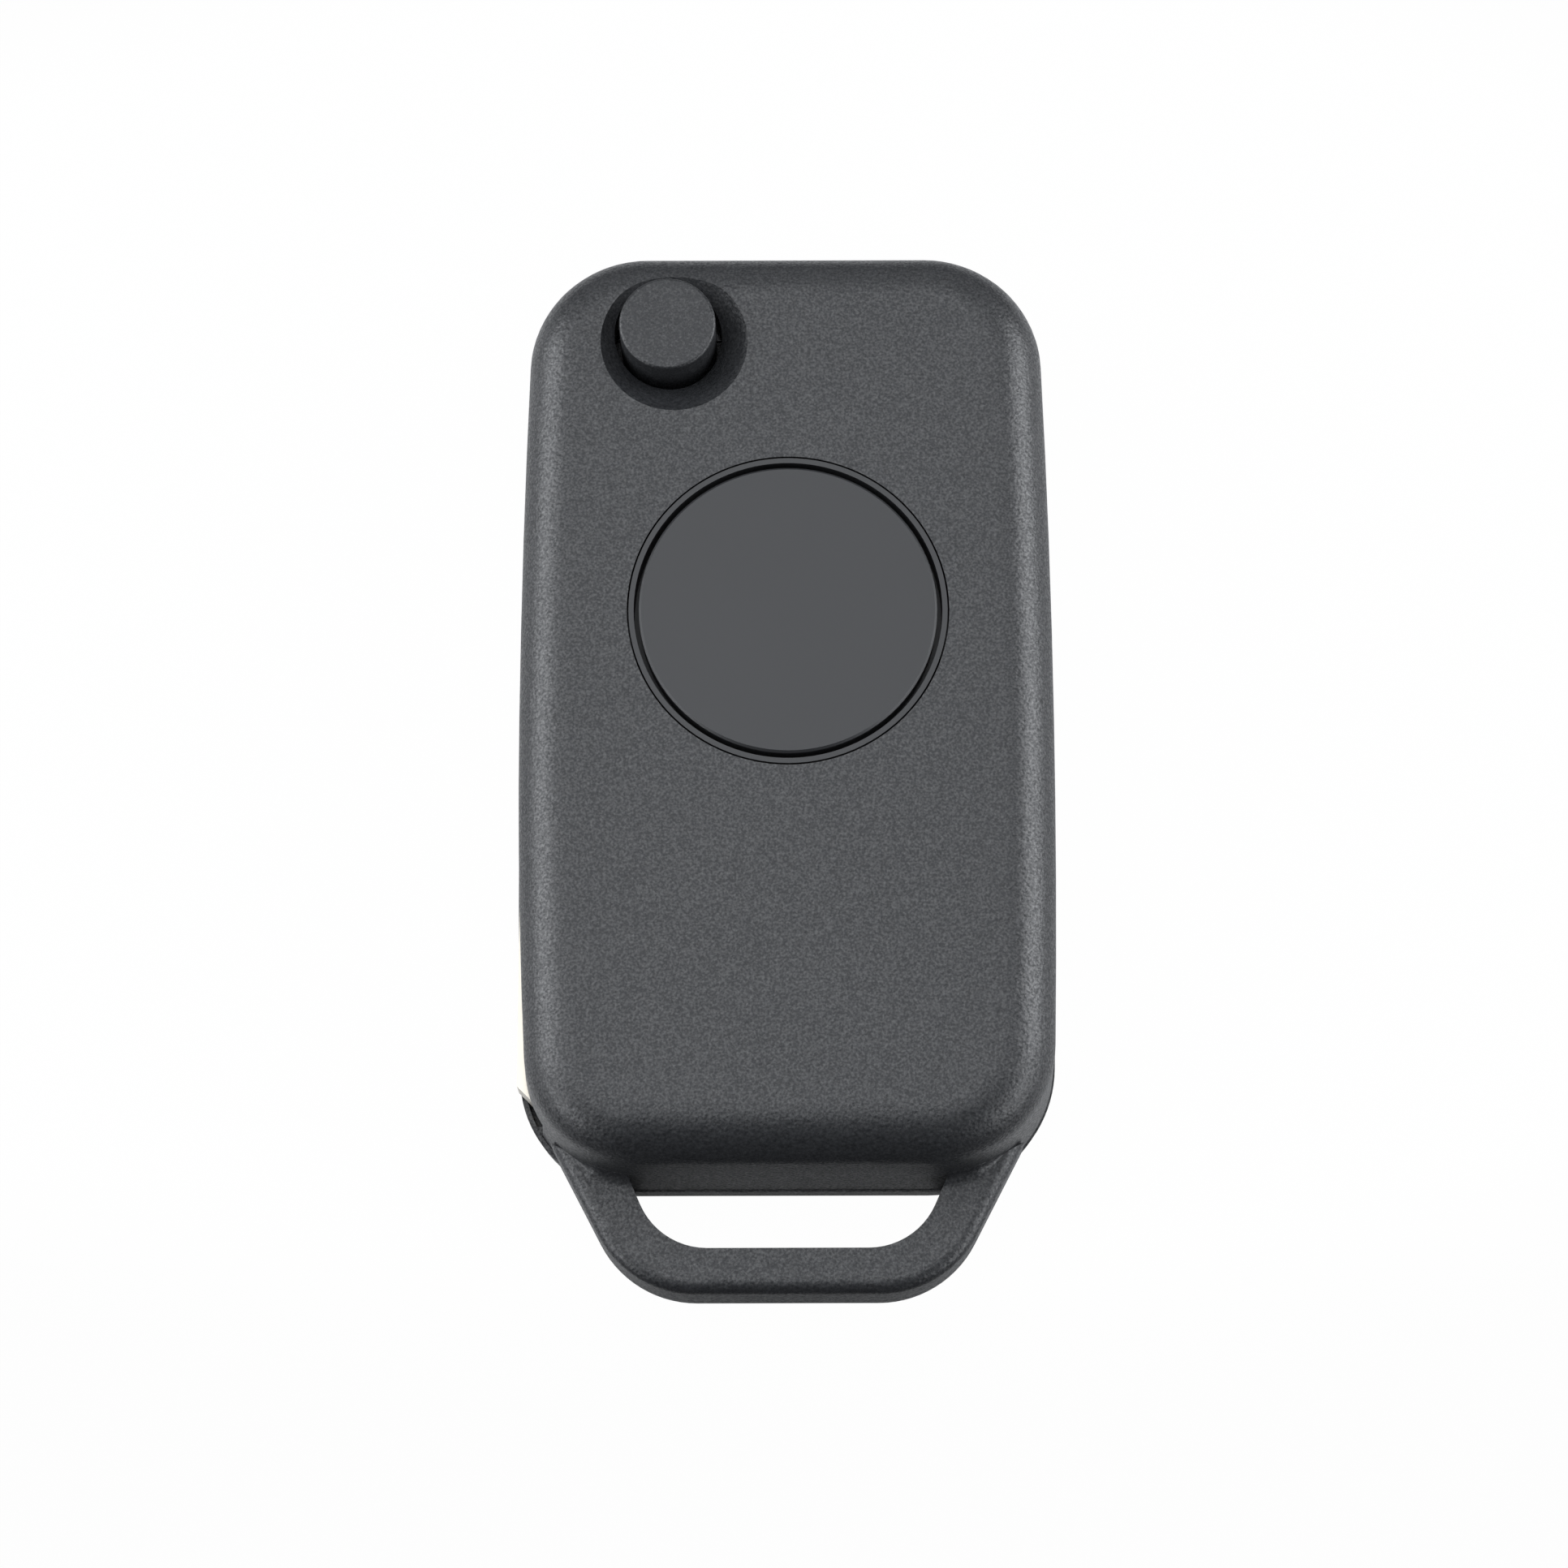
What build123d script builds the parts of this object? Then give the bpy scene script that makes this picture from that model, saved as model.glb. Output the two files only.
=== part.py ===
from build123d import *
import os

os.makedirs("parts", exist_ok=True)

# Flip key remote shell, lying on its back. Millimetres.
# X runs across the shell, Y towards the pivot end and Z out of the front face.

# Overall form
overall_length = 72.1
half_width = 18.55
body_height = 15.0
seam_z = 3.4
loop_reach = 7.55
draft = 2.5
wall = 1.6
face_round = 3.5
inner_chamfer = 1.3
top_y = overall_length / 2
loop_y = -overall_length / 2
end_y = loop_y + loop_reach
ceiling_z = body_height - wall

# Plan outline: bowed sides, widest at the waist, tucked in where the blade shows
waist_y = 2.4
top_drop = 0.75
end_drop = 0.63
top_corner = 8.5
end_corner = 8.6
blade_corner = 7.9
left_tuck = 0.5
tucked_corner = 8.0

# Key-ring loop
loop_top_z = 7.5
loop_bottom_z = 1.4
loop_foot_x = 10.64
loop_slope = 0.523
loop_root_rise = 10.2
loop_corner = 7.4
loop_round = 0.9
slot_foot_rise = 3.0
slot_foot_x = 8.6
slot_root_x = 10.6
slot_corner = 4.9
slot_overrun = 0.3

# Pivot
pivot_from_side = 10.43
pivot_from_top = 6.7
run_gap = 0.05
pivot_x = pivot_from_side - half_width
pivot_y = top_y - pivot_from_top

# Key blade and its head
blade_width = 8.4
blade_thickness = 2.5
blade_offset = 6.0
tip_from_end = 5.0
head_length = 8.85
head_arm = 6.5
head_radius = 6.2
head_lift = 0.2
head_wall = 0.5
head_side_wall = 0.3
tang_width = 5.6
tang_length = 5.5
tang_gap = 0.03
tip_chamfer = 1.6
track_width = 1.5
track_depth = 0.6
track_offset = 0.9
track_margin = 5.0
pin_radius = 0.9
pin_from_end = 2.9
pin_gap = 0.02
head_z = seam_z + head_lift
blade_z = head_z + head_wall
blade_top_z = blade_z + blade_thickness
head_top_z = blade_top_z + head_wall
blade_x = pivot_x - blade_offset
open_blade_x = pivot_x + blade_offset
blade_tip_y = end_y + tip_from_end
head_end_y = pivot_y - head_length
blade_track = head_end_y - blade_tip_y - track_margin

# Slot of the blade in the front shell, and the ribs around it
slot_room = 0.4
notch_depth = 4.0
notch_room = 0.9
tip_room = 1.25
rib_thickness = 1.0
rib_from_blade = 0.8
shelf_thickness = 0.8
bay_wall_radius = 11.2
bay_wall = 0.9
bay_wall_rise = 3.0
slot_top_z = head_top_z + slot_room
rib_x = blade_x + blade_width / 2 + rib_from_blade + rib_thickness

# Hub, release button, lock lugs and spring
hub_radius = 5.0
hub_height = 3.0
collar_wall = 1.3
collar_gap = 0.4
button_radius = 3.32
button_proud = 1.5
button_skin = 1.2
button_wall = 0.55
button_rim = 0.22
button_travel = 2.0
button_skirt = 3.6
button_hole_gap = 0.39
lug_reach = 4.3
lug_width = 2.0
lug_height = 1.4
lug_gap = 0.15
lug_rise = 0.1
lug_floor = 0.3
pocket_height = 1.7
dish_radius = 5.07
dish_floor_radius = 2.7
dish_depth = 1.8
dish_across = 0.43
dish_below = 0.73
washer_thickness = 0.3
washer_radius = 5.8
washer_hole = 3.9
seat_ledge = 0.3
seat_gap = 0.1
seat_thickness = 0.4
seat_post_radius = 1.5
seat_post_height = 1.9
spring_wire = 0.3
spring_gap = 0.12
spring_pitch = 3.4
spring_flat_count = 8
hub_top_z = head_top_z + hub_height
collar_flange_z = hub_top_z + collar_gap
lug_z = hub_top_z + lug_rise - lug_height
button_z = lug_z - button_skirt
button_top_z = body_height + button_proud
button_hole = button_radius + button_hole_gap
washer_z = head_z - run_gap - washer_thickness

# Rear shell
floor = 1.5
rear_wall = 1.5
rear_draft = 3.0
back_round = 1.0
split_from_top = 29.85
split_gap = 0.08
ledge_width = 1.3
tab_width = 4.0
tab_above_cell = 9.75
tab_margin = 2.5
tongue_reach = 2.8
tongue_margin = 2.0
tray_rim = 0.7
tray_rim_height = 0.6
tray_gap = 0.1
split_y = top_y - split_from_top

# Battery cover
cover_proud = 0.12
cover_wall = 1.3
rim_lip = 0.35
relief_from_x = 11.0
relief_length = 7.6
relief_depth = 1.1
bridge_from_end = 4.1
bridge_width = 0.6
grip_from_end = 9.0
grip_count = 5
grip_pitch = 1.9
grip_length = 11.0
grip_width = 0.9
grip_depth = 0.4
cover_top_z = seam_z - split_gap

# Inner frame
frame_floor = 1.2
frame_gap = 0.3
slide_gap = 0.15
cell_from_side = 3.92
well_from_rib = 0.35
cell_from_end = 18.45
well_wall = 1.0
well_depth = 4.0
deck_thickness = 1.0
deck_from_side = 5.95
deck_reach = 7.0
deck_corner = 2.0
deck_wall_length = 7.6
pad_seat_radius = 7.2
pad_seat_wall = 1.0
pad_seat_height = 3.1
switch_hole = 3.5
peg_radius = 0.8
peg_height = 2.4
peg_spread = 6.4
peg_drop = 7.4
rail_height = 0.4
rail_clear = 0.05
rail_inset = 2.0
rail_gap = 0.12
rail_length = 22.0
frame_z = seam_z - frame_floor
deck_left_x = rib_x + well_from_rib
cell_radius = (half_width - cell_from_side - deck_left_x) / 2 - well_wall
cell_x = deck_left_x + well_wall + cell_radius
cell_y = end_y + cell_from_end
deck_right_x = half_width - deck_from_side
deck_z = frame_z + well_depth
deck_top_z = deck_z + deck_thickness
rail_z = frame_z + frame_floor / 3
rail_x = half_width - rail_inset

# Round transmit button, its ring and its pad
disc_x = 0.11
disc_below_pivot = 20.1
disc_radius = 10.1
disc_proud = 0.1
disc_thickness = 1.55
disc_skin = 0.9
disc_wall = 1.45
disc_rim = 0.15
disc_travel = 0.5
groove_width = 0.35
ring_width = 0.35
ring_seam = 0.12
ring_flange_reach = 1.15
travel_room = 0.15
ring_lip = 0.5
lip_bite = 0.4
leg_count = 3
leg_width = 4.0
leg_thickness = 0.8
leg_gap = 0.2
leg_root = 0.4
hook_height = 0.45
hook_gap = 0.4
pad_thickness = 0.7
dome_radius = 4.5
dome_top_radius = 2.4
dome_height = 1.0
dome_wall = 0.7
plunger_radius = 1.6
plunger_gap = 0.3
disc_y = pivot_y - disc_below_pivot
groove_radius = disc_radius + groove_width
ring_radius = groove_radius + ring_width
lip_radius = disc_radius - disc_rim - lip_bite
disc_top_z = body_height + disc_proud
disc_bottom_z = disc_top_z - disc_thickness
lip_top_z = disc_bottom_z - disc_travel - travel_room
lip_z = lip_top_z - ring_lip
pad_z = deck_top_z + pad_seat_height
leg_radius = lip_radius - leg_gap
hook_top_z = lip_z - hook_gap
dome_z = pad_z + pad_thickness

# Chip tray and cell contacts
chip_length = 12.2
chip_width = 6.2
chip_depth = 3.2
tray_wall = 0.8
tray_from_wall = 1.6
tray_above_split = 9.2
contact_metal = 0.25
contact_width = 3.0
contact_foot = 3.0
contact_drop = 0.9
contact_slot = 0.15
tray_length = chip_length + 2 * tray_wall
tray_width = chip_width + 2 * tray_wall
tray_x = half_width - rear_wall - tray_from_wall - tray_length / 2
tray_y = split_y + tray_above_split

# Screws
screw_radius = 0.85
screw_length = 6.0
screw_head_radius = 1.75
screw_head = 1.0
screw_sink = 0.3
screw_clear = 0.1
thread_gap = 0.03
boss_radius = 2.0
post_foot_radius = 2.7
cross_width = 0.45
cross_reach = 2.0
cross_depth = 0.6
boss_from_rib = 2.3
boss_from_side = 5.4
boss_from_end = 4.7
boss_from_pivot = 11.6
boss_below_pivot = 4.0
frame_screw_spots = [
    (rib_x + boss_from_rib, end_y + boss_from_end),
    (half_width - boss_from_side, end_y + boss_from_end),
]
tab_spot = (rail_x - rail_gap - tab_width / 2, cell_y + tab_above_cell)
rear_screw_spots = [
    (pivot_x + boss_from_pivot, pivot_y - boss_below_pivot),
    (half_width - boss_from_side, pivot_y - boss_below_pivot),
]
boss_spots = [*frame_screw_spots, tab_spot, *rear_screw_spots]
tab_top_y = split_y + split_gap + ledge_width
tab_end_y = tab_spot[1] - tab_margin
slab_right_x = tab_spot[0] - tab_width / 2 - frame_gap
tongue_left_x = rear_wall + tongue_margin - half_width

# Alignments: standing on a point, beside it on the low side and on the high side
stand = (Align.CENTER, Align.CENTER, Align.MIN)
below_y = (Align.CENTER, Align.MAX, Align.CENTER)
above_y = (Align.CENTER, Align.MIN, Align.CENTER)


def body_plan(grow=0.0, tuck=0.0, left_corner=blade_corner):
    """Return the body's outline in plan, moved outward by grow."""
    top_x = half_width - top_drop
    end_x = half_width - end_drop
    with BuildSketch() as plan:
        with BuildLine():
            Line((tuck - end_x, end_y), (end_x, end_y))
            TangentArc((half_width, waist_y), (end_x, end_y), tangent=(0, -1))
            TangentArc((half_width, waist_y), (top_x, top_y), tangent=(0, 1))
            Line((top_x, top_y), (-top_x, top_y))
            TangentArc((-half_width, waist_y), (-top_x, top_y), tangent=(0, 1))
            TangentArc((-half_width, waist_y), (tuck - end_x, end_y), tangent=(0, -1))
        make_face()
        fillet(plan.vertices().group_by(Axis.Y)[-1], top_corner)
        fillet(plan.vertices().group_by(Axis.Y)[0].sort_by(Axis.X)[-1], end_corner)
        fillet(plan.vertices().group_by(Axis.Y)[0].sort_by(Axis.X)[0], left_corner)
        if grow:
            offset(amount=grow)
    return plan.sketch


def front_plan(grow=0.0):
    """Return the front shell's outline, tucked in where the blade's edge shows."""
    return body_plan(grow, left_tuck, tucked_corner)


def front_form(inset, corner_cut):
    """Return the space inside the front shell, moved in from its outer faces by inset."""
    with BuildPart() as form:
        with BuildSketch(Plane.XY.offset(seam_z)):
            add(front_plan(-inset))
        extrude(amount=body_height - inset - seam_z, taper=draft)
        chamfer(form.faces().sort_by(Axis.Z)[-1].edges(), corner_cut)
    return form.part


def loop_plan():
    """Return the key-ring loop's outline with its slot."""
    root_y = loop_y + loop_root_rise
    root_x = loop_foot_x + loop_root_rise * loop_slope
    slot_y = loop_y + slot_foot_rise
    slot_top_y = end_y + slot_overrun
    slot_slope = (slot_root_x - slot_foot_x) / (end_y - slot_y)
    slot_top_x = slot_foot_x + (slot_top_y - slot_y) * slot_slope
    with BuildSketch() as slot:
        with BuildLine():
            Polyline(
                (-slot_top_x, slot_top_y),
                (-slot_foot_x, slot_y),
                (slot_foot_x, slot_y),
                (slot_top_x, slot_top_y),
                close=True,
            )
        make_face()
        fillet(slot.vertices().group_by(Axis.Y)[0], slot_corner)
    with BuildSketch() as plan:
        with BuildLine():
            Polyline(
                (-root_x, root_y),
                (-loop_foot_x, loop_y),
                (loop_foot_x, loop_y),
                (root_x, root_y),
                close=True,
            )
        make_face()
        fillet(plan.vertices().group_by(Axis.Y)[0], loop_corner)
        add(slot.sketch, mode=Mode.SUBTRACT)
    return plan.sketch


def leg_plan(outer_radius):
    """Return the round button's leg sections, from the legs' inner face to that radius."""
    with BuildSketch() as plan:
        with Locations((disc_x, disc_y)):
            with PolarLocations(disc_radius / 2, leg_count, 90):
                Rectangle(disc_radius, leg_width)
            Circle(outer_radius, mode=Mode.INTERSECT)
            Circle(leg_radius - leg_thickness, mode=Mode.SUBTRACT)
    return plan.sketch


def screw():
    """Return a countersunk screw with a cross recess, its head at z = 0 and its tip upward."""
    with BuildPart() as body:
        Cone(screw_head_radius, screw_radius, screw_head, align=stand)
        Cylinder(screw_radius, screw_length, align=stand)
        Box(cross_reach, cross_width, cross_depth, align=stand, mode=Mode.SUBTRACT)
        Box(cross_width, cross_reach, cross_depth, align=stand, mode=Mode.SUBTRACT)
    return body.part


def screw_seat(depth):
    """Return the space that a screw takes in a piece of that depth."""
    with BuildPart() as space:
        head = screw_head_radius + screw_clear
        Cone(head, screw_radius + screw_clear, screw_head, align=stand)
        Cylinder(screw_radius + screw_clear, depth, align=stand)
    return space.part


# Front shell: outer form, key-ring loop, ribs, then all of them with their openings
with BuildPart() as outer_form:
    with BuildSketch(Plane.XY.offset(seam_z)):
        add(front_plan())
    extrude(amount=body_height - seam_z, taper=draft)
    fillet(outer_form.faces().sort_by(Axis.Z)[-1].edges(), face_round)

with BuildPart() as upper_loop:
    with BuildSketch(Plane.XY.offset(seam_z)):
        add(loop_plan())
    extrude(amount=loop_top_z - seam_z)
    fillet(upper_loop.faces().sort_by(Axis.Z)[-1].outer_wire().edges(), loop_round)

with BuildPart() as shell_ribs:
    # shelf over the blade's slot and over the room in which its head turns
    with BuildSketch(Plane.XY.offset(slot_top_z)):
        with Locations((pivot_x, pivot_y)):
            Circle(bay_wall_radius + bay_wall)
        with Locations((rib_x, pivot_y)):
            Rectangle(overall_length, overall_length, align=(Align.MAX, Align.MAX))
    extrude(amount=shelf_thickness)
    # rib beside the blade, and the wall around the head's room
    with BuildSketch(Plane.XY.offset(seam_z)):
        with Locations((rib_x, pivot_y - bay_wall_radius - bay_wall / 2)):
            Rectangle(rib_thickness, overall_length, align=(Align.MAX, Align.MAX))
    extrude(amount=slot_top_z - seam_z)
    with BuildSketch(Plane.XY.offset(seam_z)):
        with Locations((pivot_x, pivot_y)):
            Circle(bay_wall_radius + bay_wall)
            Circle(bay_wall_radius, mode=Mode.SUBTRACT)
        with Locations((rib_x - rib_thickness, pivot_y + bay_wall_rise)):
            Rectangle(
                overall_length, overall_length, align=(Align.MIN, Align.MAX), mode=Mode.INTERSECT
            )
    extrude(amount=slot_top_z - seam_z)
    # screw bosses, and the collar in which the hub turns
    with BuildSketch(Plane.XY.offset(seam_z)):
        with Locations(boss_spots):
            Circle(boss_radius)
    extrude(amount=body_height - seam_z)
    with BuildSketch(Plane.XY.offset(slot_top_z)):
        with Locations((pivot_x, pivot_y)):
            Circle(hub_radius + run_gap + collar_wall)
    extrude(amount=body_height - slot_top_z)
    # all of them end halfway through the wall that carries them
    add(front_form(wall / 2, inner_chamfer + wall / 2), mode=Mode.INTERSECT)

with BuildPart() as front_shell:
    add(outer_form.part)
    add(upper_loop.part)
    add(front_form(wall, inner_chamfer), mode=Mode.SUBTRACT)
    add(shell_ribs.part)
    # slot through which the blade swings out, round the corner to the top end
    with BuildSketch(Plane.XY.offset(seam_z)):
        with Locations((notch_depth - half_width, blade_tip_y - tip_room)):
            Rectangle(half_width, pivot_y - blade_tip_y + tip_room, align=(Align.MAX, Align.MIN))
        with Locations((pivot_x, pivot_y)):
            Rectangle(half_width, half_width, align=(Align.MAX, Align.MIN))
        with Locations((open_blade_x + blade_width / 2 + notch_room, top_y - notch_depth)):
            Rectangle(overall_length, half_width, align=(Align.MAX, Align.MIN))
    extrude(amount=slot_top_z - seam_z, mode=Mode.SUBTRACT)
    # bore of the hub, pockets of the lock lugs, hole and dish of the release button
    with BuildSketch(Plane.XY.offset(slot_top_z)):
        with Locations((pivot_x, pivot_y)):
            Circle(hub_radius + run_gap)
    extrude(amount=collar_flange_z - slot_top_z, mode=Mode.SUBTRACT)
    with BuildSketch(Plane.XY.offset(collar_flange_z)):
        with Locations((pivot_x, pivot_y)):
            Rectangle(2 * (lug_reach + lug_gap), lug_width + 2 * lug_gap)
    extrude(amount=pocket_height, mode=Mode.SUBTRACT)
    with BuildSketch(Plane.XY.offset(collar_flange_z)):
        with Locations((pivot_x, pivot_y)):
            Circle(button_hole)
    extrude(amount=body_height - collar_flange_z, mode=Mode.SUBTRACT)
    with Locations((pivot_x + dish_across, pivot_y - dish_below, body_height - dish_depth)):
        Cone(
            dish_floor_radius,
            2 * dish_radius - dish_floor_radius,
            2 * dish_depth,
            align=stand,
            mode=Mode.SUBTRACT,
        )
    # opening of the ring, and pilot holes of the screws
    with BuildSketch(Plane.XY.offset(ceiling_z)):
        with Locations((disc_x, disc_y)):
            Circle(ring_radius + ring_seam)
    extrude(amount=wall, mode=Mode.SUBTRACT)
    with BuildSketch(Plane.XY.offset(seam_z)):
        with Locations(boss_spots):
            Circle(screw_radius + thread_gap)
    extrude(amount=screw_length, mode=Mode.SUBTRACT)
front_shell.part.label = "front_shell"
export_step(front_shell.part, "parts/front_shell.step")

# Rear shell, under the pivot end
with BuildPart() as rear_shell:
    with BuildSketch(Plane.XY.offset(seam_z)):
        add(body_plan())
    extrude(amount=seam_z, dir=(0, 0, -1), taper=rear_draft)
    fillet(rear_shell.faces().sort_by(Axis.Z)[0].edges(), back_round)
    with Locations((0, split_y + split_gap, 0)):
        Box(overall_length, overall_length, overall_length, align=below_y, mode=Mode.SUBTRACT)
    with BuildSketch(Plane.XY.offset(floor)):
        add(body_plan(-rear_wall))
    extrude(amount=seam_z - floor, mode=Mode.SUBTRACT)
    # ledge under the frame's tongue, and the tab that reaches under the cover
    with BuildSketch(Plane.XY.offset(floor)):
        with Locations((tongue_left_x, split_y + tongue_reach)):
            Rectangle(slab_right_x - tongue_left_x, ledge_width, align=(Align.MIN, Align.MAX))
    extrude(amount=frame_z - floor)
    with BuildSketch(Plane.XY.offset(floor)):
        with Locations((tab_spot[0], split_y + split_gap)):
            Rectangle(tab_width, ledge_width, align=(Align.CENTER, Align.MIN))
    extrude(amount=seam_z - floor)
    with BuildSketch(Plane.XY.offset(frame_z)):
        with Locations((tab_spot[0], tab_end_y)):
            Rectangle(tab_width, tab_top_y - tab_end_y, align=(Align.CENTER, Align.MIN))
    extrude(amount=frame_floor)
    # bearing ring under the washer, posts under the bosses, rim around the chip tray
    with BuildSketch(Plane.XY.offset(floor)):
        with Locations((pivot_x, pivot_y)):
            Circle(washer_radius)
            Circle(washer_hole - seat_ledge, mode=Mode.SUBTRACT)
    extrude(amount=washer_z - floor)
    with BuildSketch(Plane.XY.offset(washer_z)):
        with Locations((pivot_x, pivot_y)):
            Circle(washer_radius + seat_gap)
    extrude(amount=washer_thickness, mode=Mode.SUBTRACT)
    with BuildSketch(Plane.XY.offset(floor)):
        with Locations(rear_screw_spots):
            Circle(post_foot_radius)
    extrude(amount=seam_z - floor)
    with BuildSketch(Plane.XY.offset(floor)):
        with Locations((tray_x, tray_y)):
            Rectangle(tray_length + 2 * tray_rim, tray_width + 2 * tray_rim)
            Rectangle(tray_length + 2 * tray_gap, tray_width + 2 * tray_gap, mode=Mode.SUBTRACT)
    extrude(amount=tray_rim_height)
    # seats of the screws
    with Locations([(x, y, screw_sink) for x, y in rear_screw_spots]):
        add(screw_seat(seam_z), mode=Mode.SUBTRACT)
    with Locations([(x, y, 0) for x, y in rear_screw_spots]):
        Cylinder(screw_head_radius + screw_clear, screw_sink, align=stand, mode=Mode.SUBTRACT)
    with Locations((*tab_spot, frame_z)):
        add(screw_seat(frame_floor), mode=Mode.SUBTRACT)
rear_shell.part.label = "rear_shell"
export_step(rear_shell.part, "parts/rear_shell.step")

# Sliding battery cover with the loop's lower layer
with BuildPart() as lower_loop:
    with BuildSketch(Plane.XY.offset(loop_bottom_z)):
        add(loop_plan())
    extrude(amount=cover_top_z - loop_bottom_z)
    fillet(lower_loop.faces().sort_by(Axis.Z)[0].outer_wire().edges(), loop_round)

with BuildPart() as cover_form:
    with BuildSketch(Plane.XY.offset(cover_top_z)):
        add(body_plan(cover_proud))
    extrude(amount=cover_top_z, dir=(0, 0, -1), taper=rear_draft)
    fillet(cover_form.faces().sort_by(Axis.Z)[0].edges(), back_round)

with BuildPart() as battery_cover:
    add(cover_form.part)
    add(lower_loop.part)
    with Locations((0, split_y, 0)):
        Box(overall_length, overall_length, overall_length, align=above_y, mode=Mode.SUBTRACT)
    with BuildSketch(Plane.XY.offset(floor)):
        add(body_plan(cover_proud - cover_wall))
    extrude(amount=seam_z - floor, mode=Mode.SUBTRACT)
    # relief in the corner of the rim, beside the blade's tip, with a bridge left across it
    with BuildSketch(Plane.XY.offset(cover_top_z - relief_depth)):
        add(body_plan(cover_proud - rim_lip))
        with Locations((-relief_from_x, end_y + relief_length)):
            Rectangle(
                overall_length, overall_length, align=(Align.MAX, Align.MAX), mode=Mode.INTERSECT
            )
        with Locations((0, end_y + bridge_from_end)):
            Rectangle(2 * overall_length, bridge_width, mode=Mode.SUBTRACT)
    extrude(amount=relief_depth, mode=Mode.SUBTRACT)
    # rails that slide in the frame's grooves
    with BuildSketch(Plane.XY.offset(rail_z + rail_clear)):
        add(body_plan(cover_proud - cover_wall / 2))
        with Locations((0, split_y)):
            Rectangle(
                overall_length, rail_length, align=(Align.CENTER, Align.MAX), mode=Mode.INTERSECT
            )
        Rectangle(2 * (rail_x + rail_gap), 2 * overall_length, mode=Mode.SUBTRACT)
    extrude(amount=rail_height - 2 * rail_clear)
    # grip grooves across the back
    with BuildSketch():
        with Locations((0, end_y + grip_from_end)):
            with GridLocations(1, grip_pitch, 1, grip_count):
                SlotOverall(grip_length, grip_width)
    extrude(amount=grip_depth, mode=Mode.SUBTRACT)
battery_cover.part.label = "battery_cover"
export_step(battery_cover.part, "parts/battery_cover.step")

# Inner frame: floor with cell well and rail grooves, walls, deck, pad seat, board pegs
board_pegs = [
    (cell_x + across * peg_spread, cell_y + up * peg_drop) for across in (-1, 1) for up in (-1, 1)
]
with BuildPart() as inner_frame:
    with BuildSketch(Plane.XY.offset(frame_z)):
        add(body_plan(cover_proud - cover_wall - slide_gap))
        with Locations((0, split_y - slide_gap)):
            Rectangle(
                overall_length, overall_length, align=(Align.CENTER, Align.MAX), mode=Mode.INTERSECT
            )
        with Locations((tongue_left_x, split_y + tongue_reach)):
            Rectangle(slab_right_x - tongue_left_x, 2 * tongue_reach, align=(Align.MIN, Align.MAX))
        with Locations((slab_right_x, tab_end_y - frame_gap)):
            Rectangle(
                overall_length, overall_length, align=(Align.MIN, Align.MIN), mode=Mode.SUBTRACT
            )
    extrude(amount=frame_floor)
    with BuildSketch(Plane.XY.offset(rail_z)):
        Rectangle(2 * overall_length, 2 * overall_length)
        Rectangle(2 * rail_x, 2 * overall_length, mode=Mode.SUBTRACT)
    extrude(amount=rail_height, mode=Mode.SUBTRACT)
    # walls of the well and of the deck
    with BuildSketch(Plane.XY.offset(seam_z)):
        with Locations((cell_x, cell_y)):
            Circle(cell_radius + well_wall)
        with Locations((deck_left_x, split_y + tongue_reach)):
            Rectangle(well_wall, deck_wall_length, align=(Align.MIN, Align.MAX))
        with Locations((slab_right_x, split_y + tongue_reach)):
            Rectangle(well_wall, deck_wall_length, align=(Align.MAX, Align.MAX))
    extrude(amount=deck_z - seam_z)
    with BuildSketch(Plane.XY.offset(deck_z)):
        with Locations((deck_left_x, disc_y + deck_reach)):
            RectangleRounded(
                deck_right_x - deck_left_x,
                deck_reach + disc_y - cell_y,
                deck_corner,
                align=(Align.MIN, Align.MAX),
            )
        with Locations((cell_x, cell_y)):
            Circle(cell_radius + well_wall)
        with Locations(tab_spot):
            Circle(boss_radius + frame_gap, mode=Mode.SUBTRACT)
        with Locations((disc_x, disc_y)):
            Circle(switch_hole, mode=Mode.SUBTRACT)
    extrude(amount=deck_thickness)
    with BuildSketch(Plane.XY.offset(frame_z)):
        with Locations((cell_x, cell_y)):
            Circle(cell_radius)
    extrude(amount=well_depth, mode=Mode.SUBTRACT)
    # seat of the pad, and pegs for the board
    with BuildSketch(Plane.XY.offset(deck_top_z)):
        with Locations((disc_x, disc_y)):
            Circle(pad_seat_radius)
            Circle(pad_seat_radius - pad_seat_wall, mode=Mode.SUBTRACT)
    extrude(amount=pad_seat_height)
    with BuildSketch(Plane.XY.offset(deck_top_z)):
        with Locations(board_pegs):
            Circle(peg_radius)
    extrude(amount=peg_height)
    # slots of the two contacts, and seats of the screws
    with BuildSketch(Plane.XY.offset(frame_z + contact_drop)):
        with Locations((cell_x + cell_radius + contact_slot, cell_y)):
            Rectangle(contact_metal + 2 * contact_slot, contact_width + 2 * contact_slot)
        with Locations((cell_x - cell_radius / 2, cell_y)):
            Rectangle(contact_metal + 2 * contact_slot, contact_width + 2 * contact_slot)
    extrude(amount=deck_top_z, mode=Mode.SUBTRACT)
    with Locations([(x, y, frame_z) for x, y in frame_screw_spots]):
        add(screw_seat(frame_floor), mode=Mode.SUBTRACT)
inner_frame.part.label = "inner_frame"
export_step(inner_frame.part, "parts/inner_frame.step")

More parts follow.
